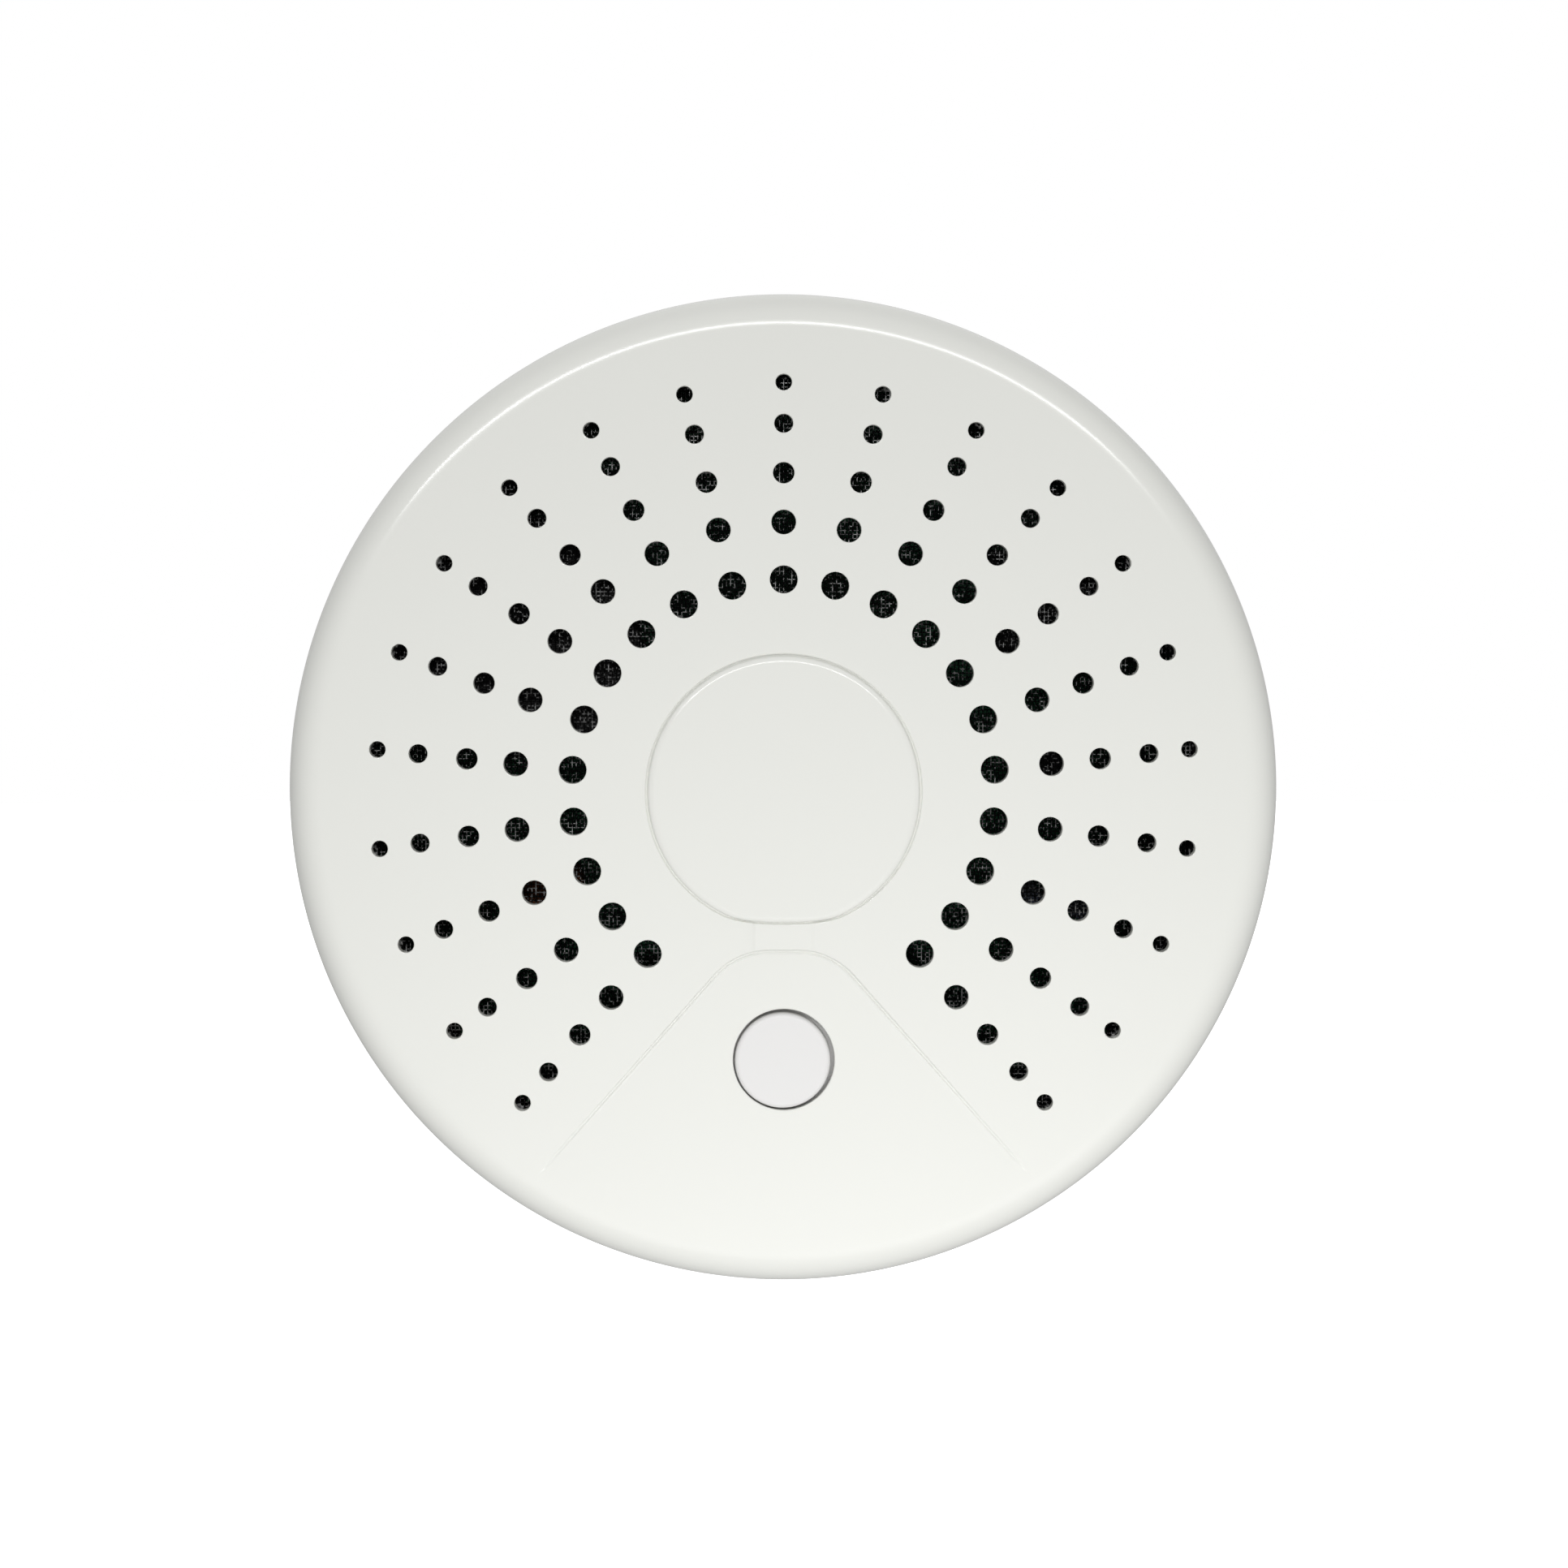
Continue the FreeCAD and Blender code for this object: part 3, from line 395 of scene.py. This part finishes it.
def dress_cad_nodes():
    """Every CAD node gets its slot's material."""
    slots = {row["node"]: row["material_slot"] for row in frame["record"]["subparts"]}
    for name, node in NODES.items():
        node.data.materials.clear()
        node.data.materials.append(SLOT_MATERIALS[slots[name]])


# ================================================================ the face's relief
def ease(distance):
    """Height of a step, 0 to 1: a crisp foot and a round shoulder. distance is measured inwards."""
    part = min(max(distance / STEP_WIDTH, 0.0), 1.0)
    return math.sin(part * math.pi / 2)


def inside_disc(x, y):
    """How far inside the disc's outline a point is. The flat's two corners are rounded."""
    from_arc = DISC_RADIUS - math.hypot(x, y)
    from_flat = y - DISC_FLAT
    if from_arc < DISC_CORNER and from_flat < DISC_CORNER:
        return DISC_CORNER - math.hypot(DISC_CORNER - from_arc, DISC_CORNER - from_flat)
    return min(from_arc, from_flat)


def inside_wedge(x, y):
    """How far inside the wedge's outline a point is. Each top corner is an arc of radius WEDGE_CORNER."""
    across, down = math.cos(WEDGE_ANGLE), math.sin(WEDGE_ANGLE)
    side = (WEDGE_HALF - abs(x)) * across + (WEDGE_TOP - y) * down
    from_x = abs(x) - (WEDGE_HALF - WEDGE_CORNER * (1 - down) / across)
    from_y = y - (WEDGE_TOP - WEDGE_CORNER)
    if from_x > 0 and across * from_y > down * from_x:
        return WEDGE_CORNER - math.hypot(from_x, from_y)
    return min(WEDGE_TOP - y, side)


def shoulder(inside):
    """The disc's rounded edge: steepest at its foot and level where it meets the top."""
    reach = max(SHOULDER_WIDTH - inside, 0.0)
    if reach >= SHOULDER_WIDTH:
        return 0.0
    return DISC_RISE - SHOULDER + math.sqrt(SHOULDER ** 2 - reach ** 2)


def groove(inside):
    """A fine moulded line along an outline."""
    return GROOVE_DEPTH * max(1 - (inside / GROOVE_HALF) ** 2, 0.0) ** 2


def relief(x, y):
    """Height of the face above its plane: the disc and neck are raised, and the wedge is sunk."""
    to_disc = inside_disc(x, y)
    to_wedge = inside_wedge(x, y)
    in_wedge = ease(to_wedge)
    above_foot = max(y - WEDGE_FOOT, 0.0)
    fade = min(above_foot / (WEDGE_TOP - WEDGE_FOOT), 1.0) ** 0.5
    neck = NECK_RISE * ease(NECK_HALF - abs(x)) if NECK_LOW < y < NECK_HIGH else 0.0
    raised = max(shoulder(to_disc), neck * (1 - in_wedge))
    sunk = in_wedge * WEDGE_SLOPE * above_foot
    return raised - sunk - groove(to_disc) - WEDGE_GROOVE * fade * groove(to_wedge)


def relief_normal(x, y, reach=0.02):
    """The face's normal, from the relief's slope over that reach to each side."""
    along_x = (relief(x + reach, y) - relief(x - reach, y)) / (2 * reach)
    along_y = (relief(x, y + reach) - relief(x, y - reach)) / (2 * reach)
    return tuple(Vector((-along_x, -along_y, 1.0)).normalized())


def contour(inside, centre, level, count):
    """The closed line round centre where inside(x, y) equals level, found by halving."""
    line = []
    for index in range(count):
        turn = FULL_TURN * index / count
        near, far = 0.0, 2 * CASE_RADIUS
        for _ in range(HALVINGS):
            middle = (near + far) / 2
            if inside(centre[0] + middle * math.cos(turn), centre[1] + middle * math.sin(turn)) > level:
                near = middle
            else:
                far = middle
        line.append((centre[0] + near * math.cos(turn), centre[1] + near * math.sin(turn)))
    return line


def relief_lines():
    """The lines across the face that its mesh follows, so that every step and groove is crisp."""
    lines = []
    for level in DISC_LEVELS:
        outline = contour(inside_disc, (0.0, 0.0), level, DISC_POINTS)
        lines.append(outline + outline[:1])
    for level in WEDGE_LEVELS:
        # the outline runs off the flat of the face at the bottom, so its line is cut at that gap
        outline = contour(inside_wedge, WEDGE_INSIDE, level, WEDGE_POINTS)
        quarter = WEDGE_POINTS // 4
        outline = [point for point in outline[quarter:] + outline[:quarter + 1]
                   if math.hypot(*point) < FLAT_RADIUS - RIM_MARGIN]
        split = max(range(1, len(outline)), key=lambda i: math.dist(outline[i - 1], outline[i]))
        lines.append(outline[split:] + outline[:split])
    for level in NECK_LEVELS:
        for x in (level - NECK_HALF, NECK_HALF - level):
            lines.append([(x, NECK_LOW + (NECK_HIGH - NECK_LOW) * step / NECK_STEPS)
                          for step in range(NECK_STEPS + 1)])
    foot_half = (WEDGE_TOP - WEDGE_FOOT) * math.tan(WEDGE_ANGLE) + WEDGE_HALF
    lines.append([(foot_half * (step / FOOT_STEPS - 1), WEDGE_FOOT) for step in range(2 * FOOT_STEPS + 1)])
    return lines


# ================================================================ front cover
def vent_holes():
    """(centre, radius) of every vent hole."""
    for spoke in range(SPOKES):
        turn = SPOKE_FIRST + spoke * SPOKE_STEP
        for radius, diameter in RINGS:
            yield (radius * math.cos(turn), radius * math.sin(turn)), diameter / 2


def polygon_share(segments):
    """Where a polygon's edge runs, as a share of its radius: triangles centred within it are inside."""
    half_turn = math.pi / segments
    return ((2 * math.cos(2 * half_turn) + 1) / 3 + math.cos(half_turn)) / 2


def on_plate(point, circles):
    """Whether a point is inside the first circle and in none of the holes, which are the others."""
    (middle, limit, _), *holes = circles
    return math.dist(point, middle) < limit and not any(
        math.dist(point, centre) < radius * polygon_share(segments) for centre, radius, segments in holes)


def flat_sheet(surface, circles, lines, height, upward):
    """Triangulate the plane between circles of (centre, radius, segments), with extra lines across it.

    The first circle is the outside and the others are holes. height(x, y) lifts each point. Returns each
    circle's points.
    """
    loops = [circle_points(*circle) for circle in circles]
    points = []
    edges = []
    for loop in loops:
        start = len(points)
        points.extend(loop)
        edges.extend((start + index, start + (index + 1) % len(loop)) for index in range(len(loop)))
    for line in lines:
        start = len(points)
        points.extend(line)
        edges.extend((start + index, start + index + 1) for index in range(len(line) - 1))
    placed, _, triangles, sources, _, _ = delaunay_2d_cdt([Vector(p) for p in points], edges, [], 0, 1e-5)
    index_of = {}
    for new, old_ones in enumerate(sources):
        for old in old_ones:
            index_of[old] = new
    kept = [t for t in triangles if on_plate(sum((placed[i] for i in t), Vector((0.0, 0.0))) / 3, circles)]
    used = sorted({index for triangle in kept for index in triangle})
    added = {}
    for index in used:
        x, y = placed[index]
        normal = relief_normal(x, y) if upward else (0.0, 0.0, -1.0)
        added[index] = surface.add(x, y, height(x, y), normal)
    for triangle in kept:
        corners = [added[index] for index in triangle]
        surface.faces.append(tuple(corners if upward else reversed(corners)))
    rings = []
    start = 0
    for loop in loops:
        rings.append([added[index_of[start + index]] for index in range(len(loop))])
        start += len(loop)
    return rings


def hole_wall(surface, centre, radius, lip, segments, top, low):
    """A hole's rounded lip and straight wall, between its points on the face and on the inside."""
    base = FRONT + relief(*centre)
    profile = []
    for step in range(1, LIP_STEPS + 1):
        bend = math.pi / 2 * step / LIP_STEPS
        profile.append((radius + lip * (1 - math.sin(bend)), base - lip * (1 - math.cos(bend)),
                        (-math.sin(bend), math.cos(bend))))
    profile.append((radius, BOTTOM + WALL_EDGE, (-1.0, 0.0)))
    surface.lathe(profile, segments, centre, first=top, last=low)


def front_cover():
    surface = Surface()
    holes = [(centre, radius, HOLE_LIP, HOLE_SEGMENTS) for centre, radius in vent_holes()]
    holes.append(((0.0, BUTTON_Y), BUTTON_HOLE, BUTTON_LIP, BUTTON_SEGMENTS))
    top_circles = [((0.0, 0.0), FLAT_RADIUS, RIM_SEGMENTS)]
    top_circles += [(centre, radius + lip, segments) for centre, radius, lip, segments in holes]
    bottom_circles = [((0.0, 0.0), FLAT_INSIDE, RIM_SEGMENTS)]
    bottom_circles += [(centre, radius, segments) for centre, radius, _, segments in holes]
    top_rings = flat_sheet(surface, top_circles, relief_lines(), lambda x, y: FRONT + relief(x, y), True)
    bottom_rings = flat_sheet(surface, bottom_circles, [], lambda x, y: BOTTOM, False)
    for hole, top, low in zip(holes, top_rings[1:], bottom_rings[1:]):
        hole_wall(surface, *hole, top, low)
    inner_corner = []
    for step in range(1, CORNER_STEPS):
        bend = math.pi / 2 * step / CORNER_STEPS
        inner_corner.append((INSIDE_RADIUS - INSIDE_ROUND * (1 - math.sin(bend)),
                             BOTTOM - INSIDE_ROUND * (1 - math.cos(bend)),
                             (-math.sin(bend), -math.cos(bend))))
    # the last two points of the skirt are left out, because they fall on the face's outer circle
    skirt = rounded([
        (INSIDE_RADIUS, BOTTOM - INSIDE_ROUND, 0.01), (INSIDE_RADIUS, SEAM - TONGUE, 0.15),
        (TONGUE_RADIUS, SEAM - TONGUE, 0.15), (TONGUE_RADIUS, SEAM + SEAM_GAP, 0.1),
        (CASE_RADIUS, SEAM + SEAM_GAP, 0.3), (FACE_RADIUS, FRONT, FACE_ROUND), (FLAT_RADIUS, FRONT, 0.0)],
        steps=8)[:-2]
    surface.lathe(inner_corner + skirt, RIM_SEGMENTS, first=bottom_rings[0], last=top_rings[0])
    made = surface.finish("cover_shell", COVER_PLASTIC)
    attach(made, "detector_head")
    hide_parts("front_cover")


# ================================================================ test button
def test_button():
    """The cap, the flange that holds it behind the cover, and the stem that presses the switch."""
    surface = Surface()
    profile = rounded([
        (AXIS_RADIUS, STEM_LOW, 0.0), (STEM_RADIUS, STEM_LOW, 0.3), (STEM_RADIUS, FLANGE_LOW, 0.2),
        (FLANGE_RADIUS, FLANGE_LOW, 0.2), (FLANGE_RADIUS, FLANGE_HIGH, 0.2), (CAP_RADIUS, FLANGE_HIGH, 0.1),
        (CAP_RADIUS, CAP_TOP, CAP_ROUND), (AXIS_RADIUS, CAP_TOP, 0.0)], steps=6)
    low, top = surface.lathe(profile, BUTTON_SEGMENTS, (CAP_SLACK[0], BUTTON_Y + CAP_SLACK[1]))
    surface.close(low, False)
    surface.close(top, True)
    made = surface.finish("button_cap", BUTTON_PLASTIC)
    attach(made, "test_button")
    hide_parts("test_button")


def button_spring():
    """The coil under the test button, drawn at its resting length; the real coil shortens as the button goes
    in.
    """
    surface = Surface()
    steps = SPRING_TURNS * TURN_STEPS
    rings = []
    for step in range(steps + 1):
        turn = FULL_TURN * SPRING_TURNS * step / steps
        out_x, out_y = math.cos(turn), math.sin(turn)
        middle = SPRING_LOW + (SPRING_HIGH - SPRING_LOW) * step / steps
        ring = []
        for side in range(SPRING_SIDES):
            around = FULL_TURN * side / SPRING_SIDES
            out, up = math.cos(around), math.sin(around)
            radius = SPRING_MEAN + SPRING_WIRE * out
            ring.append(surface.add(radius * out_x, BUTTON_Y + radius * out_y, middle + SPRING_WIRE * up,
                                    (out * out_x, out * out_y, up)))
        rings.append(ring)
    for near, far in zip(rings, rings[1:]):
        surface.bridge(far, near)
    surface.close(rings[0], True)
    surface.close(rings[-1], False)
    made = surface.finish("coil_spring", STEEL)
    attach(made, "detector_head")
    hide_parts("button_spring")
    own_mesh(made)


# ================================================================ insect mesh
def half_chord(radius, shift):
    """Half the length of the chord at that distance from a circle's centre, or 0 where there is none."""
    return math.sqrt(max(radius * radius - shift * shift, 0.0))


def spans(offset, across):
    """The stretches of one wire: inside the outer circle, outside the inner one and the button's window."""
    window_shift = offset if across == "x" else offset - BUTTON_Y
    window_centre = BUTTON_Y if across == "x" else 0.0
    outer = half_chord(MESH_OUT, offset)
    gaps = ((0.0, half_chord(MESH_IN, offset)), (window_centre, half_chord(MESH_WINDOW, window_shift)))
    pieces = [(-outer, outer)]
    for centre, reach in gaps:
        if reach:
            halves = [((low, min(high, centre - reach)), (max(low, centre + reach), high))
                      for low, high in pieces]
            pieces = [piece for pair in halves for piece in pair if piece[1] - piece[0] > SHORTEST_WIRE]
    return pieces


def mesh_wire(surface, across, offset, middle, span):
    """One straight wire with closed ends. across is the axis that its offset is measured along."""
    ends = []
    for along in span:
        ring = []
        for corner in range(WIRE_SIDES):
            turn = FULL_TURN * corner / WIRE_SIDES
            side = offset + WIRE / 2 * math.cos(turn)
            w = middle + WIRE / 2 * math.sin(turn)
            ring.append(surface.add(side, along, w) if across == "x" else surface.add(along, side, w))
        ends.append(ring if across == "x" else ring[::-1])
    surface.bridge(ends[1], ends[0])
    surface.close(ends[0], True)
    surface.close(ends[1], False)


def insect_mesh():
    """Two layers of fine crossed wires between an outer and an inner ring."""
    surface = Surface()
    top = MESH_TOP - MESH_GAP
    count = int(MESH_OUT / MESH_PITCH)
    for across, middle in (("x", top - WIRE / 2), ("y", top - WIRE * 1.5)):
        for step in range(-count, count + 1):
            for span in spans(step * MESH_PITCH, across):
                mesh_wire(surface, across, step * MESH_PITCH, middle, span)
    for inner, outer in MESH_RINGS:
        start, end = surface.lathe([(inner, top, None), (inner, MESH_RING_LOW, None),
                                    (outer, MESH_RING_LOW, None), (outer, top, None)], MESH_RING_SEGMENTS)
        surface.bridge(end, start)
    made = surface.finish("insect_wires", MESH_METAL)
    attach(made, "detector_head")
    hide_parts("insect_mesh")


# ================================================================ studio
def point_at(item, target):
    item.rotation_euler = (target - item.location).to_track_quat("-Z", "Y").to_euler()


def camera():
    data = bpy.data.cameras.new("camera")
    data.lens = LENS
    data.sensor_width = SENSOR
    made = add_to_scene("camera", data)
    away = Vector((math.sin(CAMERA_SIDE) * math.cos(CAMERA_RISE),
                   -math.cos(CAMERA_SIDE) * math.cos(CAMERA_RISE), math.sin(CAMERA_RISE)))
    made.location = FACE_CENTRE + away * CAMERA_DISTANCE
    point_at(made, CAMERA_AIM)
    bpy.context.scene.camera = made


def area_light(name, place, size, power, reflected):
    """A rectangular light that points at the face and that the camera doesn't see."""
    data = bpy.data.lights.new(name, "AREA")
    data.shape = "RECTANGLE"
    data.size, data.size_y = size
    data.energy = power
    made = add_to_scene(name, data)
    made.location = place
    point_at(made, FACE_CENTRE)
    made.visible_camera = False
    made.visible_glossy = reflected


def room_light(nodes, links):
    """The light of the room: dimmer in front of the face than behind it, and a little brighter overhead."""
    direction = nodes.new("ShaderNodeTexCoord")
    split = nodes.new("ShaderNodeSeparateXYZ")
    links.new(direction.outputs["Generated"], split.inputs["Vector"])
    both = nodes.new("ShaderNodeMath")
    parts = (("Y", map_range(nodes, From_Min=-1.0, To_Min=ROOM_FRONT, To_Max=ROOM_BEHIND)),
             ("Z", map_range(nodes, From_Min=0.0, To_Min=0.0, To_Max=ROOM_OVERHEAD)))
    for (axis, part), socket in zip(parts, both.inputs):
        links.new(split.outputs[axis], part.inputs["Value"])
        links.new(part.outputs["Result"], socket)
    room = nodes.new("ShaderNodeBackground")
    links.new(both.outputs["Value"], room.inputs["Strength"])
    return room


def world():
    """The camera sees plain white, and the object is lit by the room."""
    made = bpy.data.worlds.new("studio")
    bpy.context.scene.world = made
    made.use_nodes = True
    nodes = made.node_tree.nodes
    links = made.node_tree.links
    backdrop = nodes["Background"]
    backdrop.inputs["Color"].default_value = BACKDROP_WHITE
    backdrop.inputs["Strength"].default_value = 1.0
    room = room_light(nodes, links)
    seen = nodes.new("ShaderNodeLightPath")
    mix = nodes.new("ShaderNodeMixShader")
    links.new(seen.outputs["Is Camera Ray"], mix.inputs["Fac"])
    links.new(room.outputs["Background"], mix.inputs[1])
    links.new(backdrop.outputs["Background"], mix.inputs[2])
    links.new(mix.outputs["Shader"], nodes["World Output"].inputs["Surface"])


def floor():
    """A wide pale disc below the object, with painted shade under it and a painted glow that makes it white
    further out.
    """
    rim = circle_points((0.0, 0.0), FLOOR_RADIUS, FLOOR_SEGMENTS)
    mesh = bpy.data.meshes.new("floor")
    mesh.from_pydata([(x, y, FLOOR_LEVEL) for x, y in rim], [], [tuple(range(FLOOR_SEGMENTS))])
    made = add_to_scene("floor", mesh)
    material = principled("floor", FLOOR_COLOUR, 0.9, Emission_Color=BACKDROP_WHITE)
    nodes = material.node_tree.nodes
    links = material.node_tree.links
    place = nodes.new("ShaderNodeTexCoord")
    distance = nodes.new("ShaderNodeVectorMath")
    distance.operation = "DISTANCE"
    distance.inputs[1].default_value = (0.0, FLOOR_PAINTED_SHADE_Y, FLOOR_LEVEL)
    # painted glow: none in the spot under the object, which so shows painted shade, and full further out
    painted_glow = map_range(nodes, From_Min=FLOOR_PAINTED_SHADE_NEAR, From_Max=FLOOR_PAINTED_SHADE_FAR,
                     To_Min=0.0, To_Max=FLOOR_PAINTED_GLOW)
    links.new(place.outputs["Object"], distance.inputs[0])
    links.new(distance.outputs["Value"], painted_glow.inputs["Value"])
    links.new(painted_glow.outputs["Result"], nodes["Principled BSDF"].inputs["Emission Strength"])
    mesh.materials.append(material)
    made.visible_diffuse = False
    made.visible_glossy = False


def studio():
    bpy.context.scene.view_settings.view_transform = "Standard"
    world()
    for light in LIGHTS:
        area_light(*light)
    floor()


dress_cad_nodes()
front_cover()
test_button()
button_spring()
insect_mesh()
camera()
studio()
